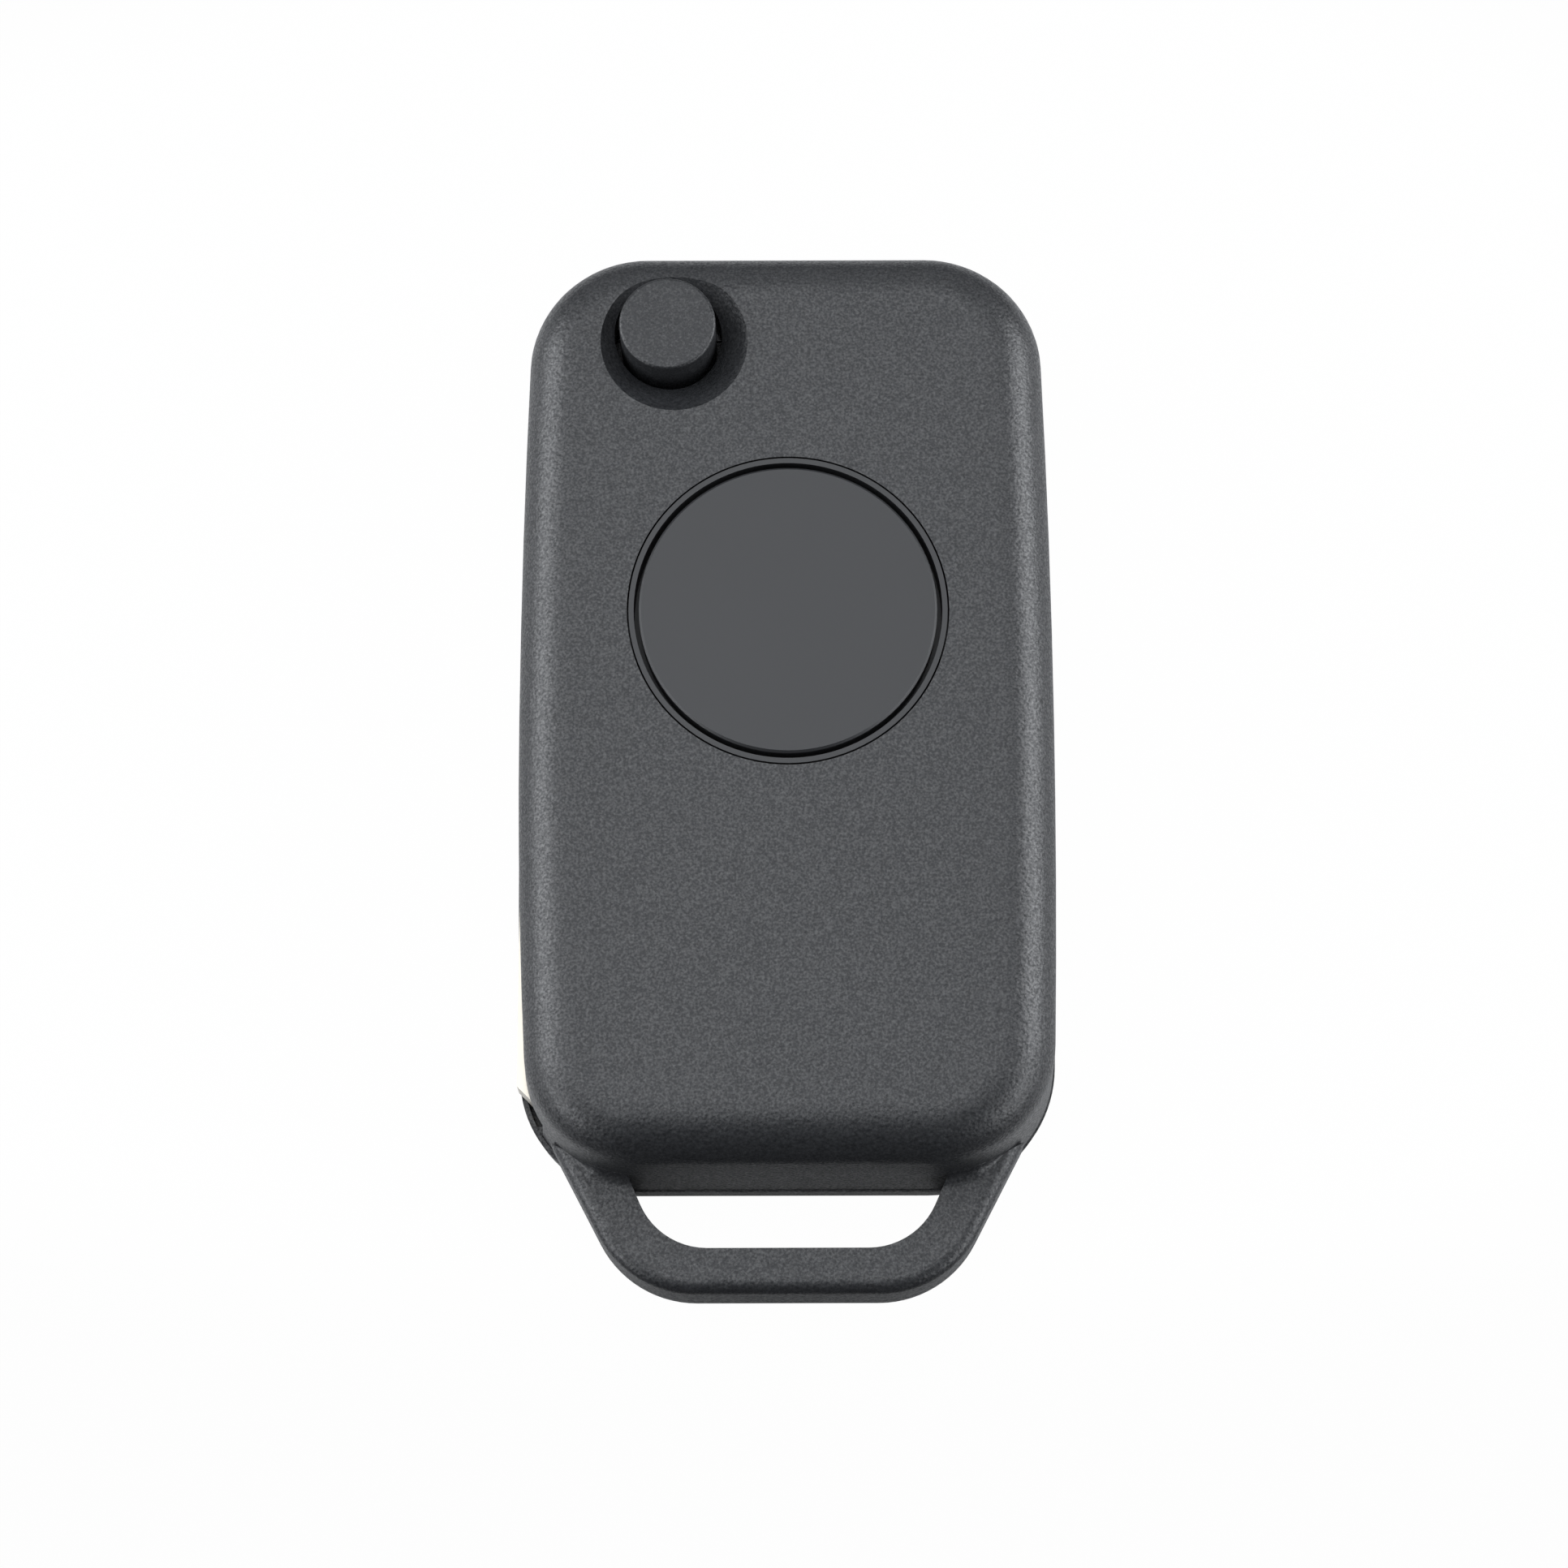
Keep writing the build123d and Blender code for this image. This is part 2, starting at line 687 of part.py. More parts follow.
# Ring of the round button, flanged to the inside of the front
with BuildPart() as button_ring:
    with BuildSketch(Plane.XY.offset(lip_z)):
        with Locations((disc_x, disc_y)):
            Circle(ring_radius + ring_flange_reach)
            Circle(lip_radius, mode=Mode.SUBTRACT)
    extrude(amount=ring_lip)
    with BuildSketch(Plane.XY.offset(lip_top_z)):
        with Locations((disc_x, disc_y)):
            Circle(ring_radius + ring_flange_reach)
            Circle(groove_radius, mode=Mode.SUBTRACT)
    extrude(amount=ceiling_z - lip_top_z)
    with BuildSketch(Plane.XY.offset(ceiling_z)):
        with Locations((disc_x, disc_y)):
            Circle(ring_radius)
            Circle(groove_radius, mode=Mode.SUBTRACT)
    extrude(amount=wall)
button_ring.part.label = "button_ring"
export_step(button_ring.part, "parts/button_ring.step")

# Round button: disc, plunger and snap legs that hook under the ring's lip
with BuildPart() as round_button:
    with BuildSketch(Plane.XY.offset(disc_bottom_z)):
        with Locations((disc_x, disc_y)):
            Circle(disc_radius)
    extrude(amount=disc_thickness)
    chamfer(round_button.faces().sort_by(Axis.Z)[-1].edges(), disc_rim)
    with BuildSketch(Plane.XY.offset(disc_bottom_z)):
        with Locations((disc_x, disc_y)):
            Circle(disc_radius - disc_wall)
    extrude(amount=disc_thickness - disc_skin, mode=Mode.SUBTRACT)
    with BuildSketch(Plane.XY.offset(dome_z + dome_height + plunger_gap)):
        with Locations((disc_x, disc_y)):
            Circle(plunger_radius)
    extrude(until=Until.NEXT)
    with BuildSketch(Plane.XY.offset(hook_top_z)):
        add(leg_plan(leg_radius))
    extrude(amount=disc_bottom_z - hook_top_z + leg_root)
    with BuildSketch(Plane.XY.offset(hook_top_z - hook_height)):
        add(leg_plan(leg_radius + leg_gap + lip_bite))
    extrude(amount=hook_height)
round_button.part.label = "round_button"
export_step(round_button.part, "parts/round_button.step")

# Silicone pad with its dome, on the deck's round seat
with BuildPart() as button_pad:
    with BuildSketch(Plane.XY.offset(pad_z)):
        with Locations((disc_x, disc_y)):
            Circle(pad_seat_radius)
    extrude(amount=pad_thickness)
    with Locations((disc_x, disc_y, dome_z)):
        Cone(dome_radius, dome_top_radius, dome_height, align=stand)
    with Locations((disc_x, disc_y, pad_z)):
        Cone(
            dome_radius - dome_wall,
            dome_top_radius - dome_wall,
            pad_thickness + dome_height - dome_wall,
            align=stand,
            mode=Mode.SUBTRACT,
        )
button_pad.part.label = "button_pad"
export_step(button_pad.part, "parts/button_pad.step")

# Release button: a cup with two lock lugs, hollow for the spring
with BuildPart() as release_button:
    with Locations((pivot_x, pivot_y, button_z)):
        Cylinder(button_radius, button_top_z - button_z, align=stand)
    fillet(release_button.edges().sort_by(Axis.Z)[-1], button_rim)
    with BuildSketch(Plane.XY.offset(lug_z)):
        with Locations((pivot_x, pivot_y)):
            Rectangle(2 * lug_reach, lug_width)
            Circle(lug_reach, mode=Mode.INTERSECT)
    extrude(amount=lug_height)
    with Locations((pivot_x, pivot_y, button_z)):
        Cylinder(
            button_radius - button_wall,
            button_top_z - button_skin - button_z,
            align=stand,
            mode=Mode.SUBTRACT,
        )
release_button.part.label = "release_button"
export_step(release_button.part, "parts/release_button.step")

# Steel seat of the spring, standing in the bearing ring
with BuildPart() as spring_seat:
    with Locations((pivot_x, pivot_y, floor)):
        Cylinder(washer_hole - seat_ledge - seat_gap, seat_thickness, align=stand)
        Cylinder(seat_post_radius, seat_thickness + seat_post_height, align=stand)
spring_seat.part.label = "spring_seat"
export_step(spring_seat.part, "parts/spring_seat.step")

# Spring that lifts the button and swings the blade out, its wire drawn with flats
spring_radius = button_radius - button_wall - spring_gap - spring_wire
spring_z = floor + seat_thickness + spring_wire + spring_gap
spring_top_z = button_top_z - button_skin - spring_wire - spring_gap
with BuildPart() as flip_spring:
    with BuildLine() as coil:
        Helix(spring_pitch, spring_top_z - spring_z, spring_radius, center=(pivot_x, pivot_y, spring_z))
    with BuildSketch(Plane(origin=coil.line @ 0, z_dir=coil.line % 0)):
        RegularPolygon(spring_wire, spring_flat_count)
    sweep()
flip_spring.part.label = "flip_spring"
export_step(flip_spring.part, "parts/flip_spring.step")

# Washer between the blade's head and the rear shell
with BuildPart() as head_washer:
    with BuildSketch(Plane.XY.offset(washer_z)):
        with Locations((pivot_x, pivot_y)):
            Circle(washer_radius)
            Circle(washer_hole, mode=Mode.SUBTRACT)
    extrude(amount=washer_thickness)
head_washer.part.label = "head_washer"
export_step(head_washer.part, "parts/head_washer.step")

# Head: arm around the blade's tang, hub in the collar, bore and slots of the button
head_half = blade_width / 2 - head_side_wall
with BuildPart() as blade_head:
    with BuildSketch(Plane.XY.offset(head_z)):
        with Locations((pivot_x, pivot_y)):
            Circle(head_radius)
        with Locations((blade_x, head_end_y)):
            Rectangle(2 * head_half, head_arm, align=(Align.CENTER, Align.MIN))
        make_hull()
    extrude(amount=head_top_z - head_z)
    with BuildSketch(Plane.XY.offset(head_top_z)):
        with Locations((pivot_x, pivot_y)):
            Circle(hub_radius)
    extrude(amount=hub_height)
    with BuildSketch(Plane.XY.offset(head_z)):
        with Locations((pivot_x, pivot_y)):
            Circle(button_radius + run_gap)
    extrude(amount=hub_top_z - head_z, mode=Mode.SUBTRACT)
    with BuildSketch(Plane.XY.offset(lug_z - button_travel - lug_floor)):
        with Locations((pivot_x, pivot_y)):
            Rectangle(2 * (lug_reach + lug_gap), lug_width + 2 * lug_gap)
    extrude(amount=hub_top_z, mode=Mode.SUBTRACT)
    with BuildSketch(Plane.XY.offset(blade_z)):
        with Locations((blade_x, head_end_y)):
            Rectangle(
                tang_width + 2 * tang_gap, tang_length + tang_gap, align=(Align.CENTER, Align.MIN)
            )
    extrude(amount=blade_thickness, mode=Mode.SUBTRACT)
    with BuildSketch(Plane.XY.offset(head_z)):
        with Locations((blade_x, head_end_y + pin_from_end)):
            Circle(pin_radius + pin_gap)
    extrude(amount=head_top_z - head_z, mode=Mode.SUBTRACT)
blade_head.part.label = "blade_head"
export_step(blade_head.part, "parts/blade_head.step")

# Uncut key blade with its tang, pin hole, pointed tip and a track along each face
with BuildPart() as key_blade:
    with BuildSketch(Plane.XY.offset(blade_z)):
        with Locations((blade_x, head_end_y)):
            Rectangle(blade_width, head_end_y - blade_tip_y, align=(Align.CENTER, Align.MAX))
    extrude(amount=blade_thickness)
    chamfer(key_blade.edges().filter_by(Axis.Z).group_by(Axis.Y)[0], tip_chamfer)
    with BuildSketch(Plane.XY.offset(blade_z)):
        with Locations((blade_x, head_end_y)):
            Rectangle(tang_width, tang_length, align=(Align.CENTER, Align.MIN))
        with Locations((blade_x, head_end_y + pin_from_end)):
            Circle(pin_radius + pin_gap, mode=Mode.SUBTRACT)
    extrude(amount=blade_thickness)
    with BuildSketch(Plane.XY.offset(blade_top_z - track_depth)):
        with Locations((blade_x - track_offset, blade_tip_y)):
            Rectangle(track_width, blade_track, align=(Align.CENTER, Align.MIN))
    extrude(amount=track_depth, mode=Mode.SUBTRACT)
    with BuildSketch(Plane.XY.offset(blade_z)):
        with Locations((blade_x + track_offset, blade_tip_y)):
            Rectangle(track_width, blade_track, align=(Align.CENTER, Align.MIN))
    extrude(amount=track_depth, mode=Mode.SUBTRACT)
key_blade.part.label = "key_blade"
export_step(key_blade.part, "parts/key_blade.step")

# Pin through head and tang
with BuildPart() as blade_pin:
    with Locations((blade_x, head_end_y + pin_from_end, head_z)):
        Cylinder(pin_radius, head_top_z - head_z, align=stand)
blade_pin.part.label = "blade_pin"
export_step(blade_pin.part, "parts/blade_pin.step")

# Tray of the transponder chip
with BuildPart() as chip_tray:
    with BuildSketch(Plane.XY.offset(floor)):
        with Locations((tray_x, tray_y)):
            Rectangle(tray_length, tray_width)
    extrude(amount=chip_depth + tray_wall)
    with BuildSketch(Plane.XY.offset(floor + tray_wall)):
        with Locations((tray_x, tray_y)):
            Rectangle(chip_length, chip_width)
    extrude(amount=chip_depth, mode=Mode.SUBTRACT)
chip_tray.part.label = "chip_tray"
export_step(chip_tray.part, "parts/chip_tray.step")

# Contact at the cell's side: a strip beside the cell, folded over the deck
side_x = cell_x + cell_radius + contact_slot
foot_z = deck_top_z + contact_metal / 2
with BuildPart() as positive_contact:
    with BuildSketch(Plane.XZ.offset(-cell_y)) as side_strip:
        with BuildLine() as side_path:
            Polyline(
                (side_x, frame_z + contact_drop),
                (side_x, foot_z),
                (side_x - contact_foot, foot_z),
            )
        trace(side_path.line, contact_metal)
    extrude(amount=contact_width / 2, both=True)
positive_contact.part.label = "positive_contact"
export_step(positive_contact.part, "parts/positive_contact.step")

# Contact at the middle of the cell: under the deck, with a tongue bent down to the cell
ceiling_strip_z = deck_z - contact_metal / 2
middle_x = cell_x - cell_radius / 2
with BuildPart() as negative_contact:
    with BuildSketch(Plane.XZ.offset(-cell_y)):
        with BuildLine() as middle_path:
            Polyline(
                (middle_x - contact_foot, foot_z),
                (middle_x, foot_z),
                (middle_x, ceiling_strip_z),
                (cell_x, ceiling_strip_z),
                (cell_x + contact_foot, ceiling_strip_z - contact_drop),
            )
        trace(middle_path.line, contact_metal)
    extrude(amount=contact_width / 2, both=True)
negative_contact.part.label = "negative_contact"
export_step(negative_contact.part, "parts/negative_contact.step")

# Screws of the rear shell, and screws of the inner frame
with BuildPart() as case_screws:
    with Locations((*tab_spot, frame_z), *[(x, y, screw_sink) for x, y in rear_screw_spots]):
        add(screw())
case_screws.part.label = "case_screws"
export_step(case_screws.part, "parts/case_screws.step")

with BuildPart() as frame_screws:
    with Locations([(x, y, frame_z) for x, y in frame_screw_spots]):
        add(screw())
frame_screws.part.label = "frame_screws"
export_step(frame_screws.part, "parts/frame_screws.step")
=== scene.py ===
import logging
import math
from dataclasses import dataclass
from enum import Enum
from typing import Optional, Sequence, Union

import bmesh
import bpy
from mathutils import Matrix, Quaternion, Vector


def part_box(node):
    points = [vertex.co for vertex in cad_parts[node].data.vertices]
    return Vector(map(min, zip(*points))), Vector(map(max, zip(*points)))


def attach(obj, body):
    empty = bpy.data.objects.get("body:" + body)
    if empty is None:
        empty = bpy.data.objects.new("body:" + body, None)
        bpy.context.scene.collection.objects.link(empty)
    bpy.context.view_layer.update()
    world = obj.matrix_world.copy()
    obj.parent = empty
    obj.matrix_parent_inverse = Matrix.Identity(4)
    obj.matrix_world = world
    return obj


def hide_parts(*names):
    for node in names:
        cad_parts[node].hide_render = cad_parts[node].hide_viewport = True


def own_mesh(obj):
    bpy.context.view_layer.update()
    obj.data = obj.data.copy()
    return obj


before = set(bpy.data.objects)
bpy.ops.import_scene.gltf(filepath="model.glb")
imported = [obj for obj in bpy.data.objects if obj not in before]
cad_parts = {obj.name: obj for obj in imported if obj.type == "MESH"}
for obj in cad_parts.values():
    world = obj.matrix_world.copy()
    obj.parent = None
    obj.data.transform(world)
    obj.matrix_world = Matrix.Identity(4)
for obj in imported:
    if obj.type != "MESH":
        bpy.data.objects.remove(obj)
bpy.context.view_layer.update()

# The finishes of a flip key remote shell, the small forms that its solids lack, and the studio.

MM = 0.001
SAME_PLACE = 0.0005 * MM  # vertices that are nearer than this become one
WHITE = (1.0, 1.0, 1.0, 1.0)
LOG = logging.getLogger("flip_key_shell")

Triple = tuple[float, float, float]
Value = Union["Signal", float, Sequence[float]]


class Ray(Enum):
    """The kinds of light rays that a material can tell apart."""

    SEEN = "Is Camera Ray"
    GLOSSY = "Is Glossy Ray"
    THROUGH = "Is Transmission Ray"


class Signal:
    """A shader value that takes part in Python expressions."""

    def __init__(self, graph: "Graph", socket: bpy.types.NodeSocket) -> None:
        """Wrap one output socket.

        Args:
            graph: The node graph that the socket belongs to.
            socket: The output socket.
        """
        self.graph = graph
        self.socket = socket

    def _math(self, operation: str, first: Value, second: Value) -> "Signal":
        """Add one Math node.

        Args:
            operation: The Math node's operation.
            first: Its first value.
            second: Its second value.

        Returns:
            The node's result.
        """
        return self.graph.node("ShaderNodeMath", {"operation": operation}, {0: first, 1: second})

    def __add__(self, other: Value) -> "Signal":
        """Return self + other."""
        return self._math("ADD", self, other)

    def __radd__(self, other: Value) -> "Signal":
        """Return other + self."""
        return self._math("ADD", other, self)

    def __sub__(self, other: Value) -> "Signal":
        """Return self - other."""
        return self._math("SUBTRACT", self, other)

    def __rsub__(self, other: Value) -> "Signal":
        """Return other - self."""
        return self._math("SUBTRACT", other, self)

    def __mul__(self, other: Value) -> "Signal":
        """Return self * other."""
        return self._math("MULTIPLY", self, other)

    def __rmul__(self, other: Value) -> "Signal":
        """Return other * self."""
        return self._math("MULTIPLY", other, self)


class Graph:
    """The node graph of a material or of the world."""

    def __init__(self, tree: bpy.types.NodeTree) -> None:
        """Empty a node tree and take it over.

        Args:
            tree: The tree of a material or of the world.
        """
        self.tree = tree
        self.tree.nodes.clear()

    def node(
        self,
        kind: str,
        settings: Optional[dict[str, object]] = None,
        values: Optional[dict[Union[int, str], Value]] = None,
        output: Union[int, str] = 0,
    ) -> Signal:
        """Add a node, set it and wire it.

        Args:
            kind: The node's type name.
            settings: The node's own settings; "stops" holds a ramp's places and greys.
            values: Numbers, colours or signals for its input sockets.
            output: Which of its outputs is wanted.

        Returns:
            The chosen output.
        """
        made = self.tree.nodes.new(kind)
        for name, setting in (settings or {}).items():
            if name == "stops":
                self._set_stops(made, setting)
            else:
                setattr(made, name, setting)
        for key, value in (values or {}).items():
            if isinstance(value, Signal):
                self.tree.links.new(value.socket, made.inputs[key])
            else:
                made.inputs[key].default_value = value
        return Signal(self, made.outputs[output])

    def _set_stops(self, ramp: bpy.types.Node, stops: Sequence[tuple[float, float]]) -> None:
        """Give a colour ramp its stops.

        Args:
            ramp: The ramp node.
            stops: Pairs of a place and a grey, in rising order.
        """
        elements = ramp.color_ramp.elements
        while len(elements) < len(stops):
            elements.new(1.0)
        for element, (place, grey) in zip(elements, stops):
            element.position = place
            element.color = (grey, grey, grey, 1.0)

    def place(
        self, scale: Sequence[float] = (1.0, 1.0, 1.0), shift: Sequence[float] = (0.0, 0.0, 0.0)
    ) -> Signal:
        """Return the surface's place in the object's own metres.

        Args:
            scale: How far each direction is stretched.
            shift: What is added after that.

        Returns:
            The scaled and shifted place.
        """
        spot = self.node("ShaderNodeTexCoord", output="Object")
        values = {"Vector": spot, "Scale": scale, "Location": shift}
        return self.node("ShaderNodeMapping", {"vector_type": "POINT"}, values)

    def noise(
        self, spot: Signal, size: float, detail: float = 2.0, harshness: float = 0.5
    ) -> Signal:
        """Return a cloudy pattern from 0 to 1.

        Args:
            spot: The place on the surface.
            size: The width of one blotch, in metres.
            detail: How many finer layers it has.
            harshness: How strong the finer layers are.

        Returns:
            The pattern.
        """
        return self.node(
            "ShaderNodeTexNoise",
            {"noise_dimensions": "3D"},
            {"Vector": spot, "Scale": 1.0 / size, "Detail": detail, "Roughness": harshness},
        )

    def ray(self, kind: Ray) -> Signal:
        """Return 1 for rays of one kind and 0 for all others."""
        return self.node("ShaderNodeLightPath", output=kind.value)

    def tint(self, colour: Triple, strength: Signal) -> Signal:
        """Return a colour made lighter or darker by a signal.

        Args:
            colour: The plain colour.
            strength: What the colour is multiplied by.

        Returns:
            The colour as a signal.
        """
        grey = self.node("ShaderNodeCombineXYZ", None, {0: strength, 1: strength, 2: strength})
        return self.node("ShaderNodeVectorMath", {"operation": "MULTIPLY"}, {0: grey, 1: colour})

    def bump(self, height: Signal, depth: float) -> Signal:
        """Return the normal of a surface with fine relief.

        Args:
            height: The relief, from 0 to 1.
            depth: How deep it is, in metres.

        Returns:
            The normal.
        """
        values = {"Height": height, "Strength": 1.0, "Distance": depth}
        return self.node("ShaderNodeBump", None, values)

    def surface(self, **sockets: Value) -> None:
        """End a material in one Principled surface.

        Args:
            sockets: Values of its sockets, with _ for a space in their names.
        """
        values = {name.replace("_", " "): value for name, value in sockets.items()}
        self.end(self.node("ShaderNodeBsdfPrincipled", None, values))

    def end(self, shader: Signal, kind: str = "ShaderNodeOutputMaterial") -> None:
        """Join a shader to the tree's output.

        Args:
            shader: The finished shader.
            kind: The output node's type name.
        """
        output = self.tree.nodes.new(kind)
        self.tree.links.new(shader.socket, output.inputs["Surface"])


def new_material(name: str) -> tuple[bpy.types.Material, Graph]:
    """Make a material and empty its graph.

    Args:
        name: The material's name.

    Returns:
        The material and its graph.
    """
    material = bpy.data.materials.new(name)
    material.use_nodes = True
    return material, Graph(material.node_tree)


@dataclass(frozen=True)
class Plastic:
    """Moulded plastic with the grain of a spark-eroded mould.

    Attributes:
        name: The material's name.
        colour: Its colour.
        roughness: Its mean roughness.
        grain: Width of one grain, in metres.
        depth: Depth of the grain, in metres.
        fleck: How far the colour changes from grain to grain.
        sheen: How strong the hard skin of the moulding reflects.
        glint: How far that changes from point to point.
        glint_width: Width of one glinting point, in grains.
        skin_roughness: Roughness of the hard skin.
        fleck_gloss: How much of the fleck goes into the roughness too.
        flow: How far the colour changes over the piece.
        flow_width: Width of such a change, in grains.
    """

    name: str
    colour: Triple
    roughness: float
    grain: float
    depth: float
    fleck: float
    sheen: float = 0.2
    glint: float = 0.2
    glint_width: float = 0.6
    skin_roughness: float = 0.45
    fleck_gloss: float = 0.3
    flow: float = 0.12
    flow_width: float = 60.0

    def material(self) -> bpy.types.Material:
        """Wire the material's nodes.

        Returns:
            The material.
        """
        made, graph = new_material(self.name)
        spot = graph.place()
        grains = graph.noise(spot, self.grain, detail=1.0)
        pits = graph.node(
            "ShaderNodeTexVoronoi",
            {"feature": "F1"},
            {"Vector": spot, "Scale": 1.0 / self.grain, "Randomness": 1.0},
            "Distance",
        )
        flow = graph.noise(spot, self.flow_width * self.grain)
        sheen: Value = self.sheen
        if self.glint:
            glints = graph.noise(spot, self.glint_width * self.grain, harshness=0.6)
            sheen = self.sheen + (glints - 0.5) * self.glint
        tone = 1.0 + (grains - 0.5) * self.fleck + (flow - 0.5) * self.flow
        graph.surface(
            Base_Color=graph.tint(self.colour, tone),
            Roughness=self.roughness + (grains - 0.5) * self.fleck * self.fleck_gloss,
            Coat_Weight=sheen,
            Coat_Roughness=self.skin_roughness,
            Normal=graph.bump(grains * 0.5 + pits * 0.5, self.depth),
        )
        return made


@dataclass(frozen=True)
class Metal:
    """Metal with fine lines left by drawing, grinding or plating.

    Attributes:
        name: The material's name.
        colour: Its colour.
        roughness: Its mean roughness.
        line: Width of one line, in metres.
        depth: Depth of the lines, in metres.
        stretch: How much longer than wide the lines are, along X, Y and Z.
        line_tone: How far the colour changes from line to line.
        line_gloss: How far the roughness changes from line to line.
        cloud: How far the roughness changes over the piece.
        cloud_width: Width of such a change, in lines.
    """

    name: str
    colour: Triple
    roughness: float
    line: float
    depth: float
    stretch: Triple = (1.0, 1.0, 1.0)
    line_tone: float = 0.1
    line_gloss: float = 0.06
    cloud: float = 0.08
    cloud_width: float = 60.0

    def material(self) -> bpy.types.Material:
        """Wire the material's nodes.

        Returns:
            The material.
        """
        made, graph = new_material(self.name)
        along = graph.place([1.0 / times for times in self.stretch])
        lines = graph.noise(along, self.line, detail=3.0, harshness=0.6)
        cloud = graph.noise(graph.place(), self.cloud_width * self.line)
        clouded = self.roughness + (cloud - 0.5) * self.cloud
        graph.surface(
            Base_Color=graph.tint(self.colour, 1.0 + (lines - 0.5) * self.line_tone),
            Metallic=1.0,
            Roughness=clouded + (lines - 0.5) * self.line_gloss,
            Normal=graph.bump(lines, self.depth),
        )
        return made


SHELL = Plastic(
    name="shell_plastic",
    colour=(0.015, 0.016, 0.018),
    roughness=0.45,
    grain=0.28 * MM,
    depth=0.060 * MM,
    fleck=1.0,
    sheen=0.43,
    glint=4.4,
)
BUTTON = Plastic(
    name="button_plastic",
    colour=(0.020, 0.021, 0.023),
    roughness=0.45,
    grain=0.12 * MM,
    depth=0.002 * MM,
    fleck=0.05,
    sheen=0.25,
    glint=0.1,
)
RELEASE = Plastic(
    name="release_plastic",
    colour=(0.016, 0.017, 0.019),
    roughness=0.45,
    grain=0.24 * MM,
    depth=0.050 * MM,
    fleck=1.0,
    sheen=0.15,
    glint=3.6,
)
FRAME = Plastic(
    name="frame_plastic",
    colour=(0.030, 0.030, 0.032),
    roughness=0.45,
    grain=0.20 * MM,
    depth=0.006 * MM,
    fleck=0.10,
)
SILICONE = Plastic(
    name="pad_silicone",
    colour=(0.050, 0.050, 0.052),
    roughness=0.65,
    grain=0.25 * MM,
    depth=0.004 * MM,
    fleck=0.08,
    sheen=0.0,
    glint=0.0,
)
NICKEL = Metal(
    name="blade_nickel",
    colour=(0.74, 0.70, 0.61),
    roughness=0.30,
    line=0.05 * MM,
    depth=0.002 * MM,
    stretch=(1.0, 30.0, 1.0),
)
CASTING = Metal(
    name="head_metal",
    colour=(0.14, 0.14, 0.145),
    roughness=0.48,
    line=0.22 * MM,
    depth=0.010 * MM,
)
STEEL = Metal(
    name="spring_steel",
    colour=(0.46, 0.46, 0.47),
    roughness=0.30,
    line=0.06 * MM,
    depth=0.002 * MM,
    stretch=(1.0, 1.0, 6.0),
)
WASHER = Metal(
    name="washer_steel",
    colour=(0.50, 0.50, 0.50),
    roughness=0.35,
    line=0.08 * MM,
    depth=0.002 * MM,
    stretch=(6.0, 1.0, 1.0),
)
CONTACT = Metal(
    name="contact_nickel",
    colour=(0.66, 0.62, 0.52),
    roughness=0.28,
    line=0.07 * MM,
    depth=0.002 * MM,
    stretch=(8.0, 1.0, 1.0),
)
SCREW = Metal(
    name="screw_steel",
    colour=(0.17, 0.17, 0.18),
    roughness=0.38,
    line=0.10 * MM,
    depth=0.003 * MM,
)


def dress(nodes: Sequence[str], material: bpy.types.Material) -> None:
    """Give CAD nodes their material.

    Args:
        nodes: Names of the nodes.
        material: Their material.
    """
    for name in nodes:
        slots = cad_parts[name].data.materials
        slots.clear()
        slots.append(material)
        LOG.info("dressed %s in %s", name, material.name)


def measure_round(box: Sequence[Sequence[float]]) -> tuple[Vector, float, float]:
    """Measure an upright round node by its box.

    Args:
        box: The box's lowest and highest corner.

    Returns:
        The middle of the node's foot, its radius and its height, in metres.
    """
    low, high = box
    foot = Vector(((low[0] + high[0]) / 2, (low[1] + high[1]) / 2, low[2]))
    return foot, (high[0] - low[0]) / 2, high[2] - low[2]


def spin(
    form: bmesh.types.BMesh,
    edges: Sequence[bmesh.types.BMEdge],
    axis: Vector,
    angle: float,
    steps: int,
    rise: float = 0.0,
) -> list[bmesh.types.BMEdge]:
    """Sweep edges round an upright axis, rising on the way, and close a level full turn.

    Args:
        form: The mesh.
        edges: The edges of the section.
        axis: A point on the axis.
        angle: How far they turn, in radians.
        steps: How many steps there are.
        rise: How far each step rises, in metres.

    Returns:
        The section's edges at the end.
    """
    swept = bmesh.ops.spin(
        form,
        geom=list(edges),
        cent=axis,
        axis=(0.0, 0.0, 1.0),
        dvec=(0.0, 0.0, rise),
        angle=angle,
        steps=steps,
        use_merge=rise == 0.0 and abs(angle) == math.tau,
    )
    return [item for item in swept["geom_last"] if isinstance(item, bmesh.types.BMEdge)]


def open_edges(form: bmesh.types.BMesh) -> list[bmesh.types.BMEdge]:
    """Return the edges around the holes of a mesh."""
    return [edge for edge in form.edges if edge.is_boundary]


def bent_edges(form: bmesh.types.BMesh, degrees: float) -> list[bmesh.types.BMEdge]:
    """Return the edges whose two faces are bent by more than an angle."""
    return [edge for edge in form.edges if edge.calc_face_angle(0.0) > math.radians(degrees)]


def finish_piece(
    form: bmesh.types.BMesh, name: str, material: bpy.types.Material
) -> bpy.types.Object:
    """Turn a finished form into a smooth piece that rides on the case.

    Args:
        form: The form, which is freed.
        name: The piece's name.
        material: Its material.

    Returns:
        The piece.
    """
    bmesh.ops.recalc_face_normals(form, faces=form.faces)
    for face in form.faces:
        face.smooth = True
    mesh = bpy.data.meshes.new(name)
    form.to_mesh(mesh)
    form.free()
    mesh.materials.append(material)
    piece = bpy.data.objects.new(name, mesh)
    bpy.context.scene.collection.objects.link(piece)
    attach(piece, "case")
    LOG.info("built %s with %d faces", name, len(mesh.polygons))
    return piece


class Side(Enum):
    """The sides of the loop, each with the way in which its corner turns outwards."""

    RIGHT = 1
    LEFT = -1


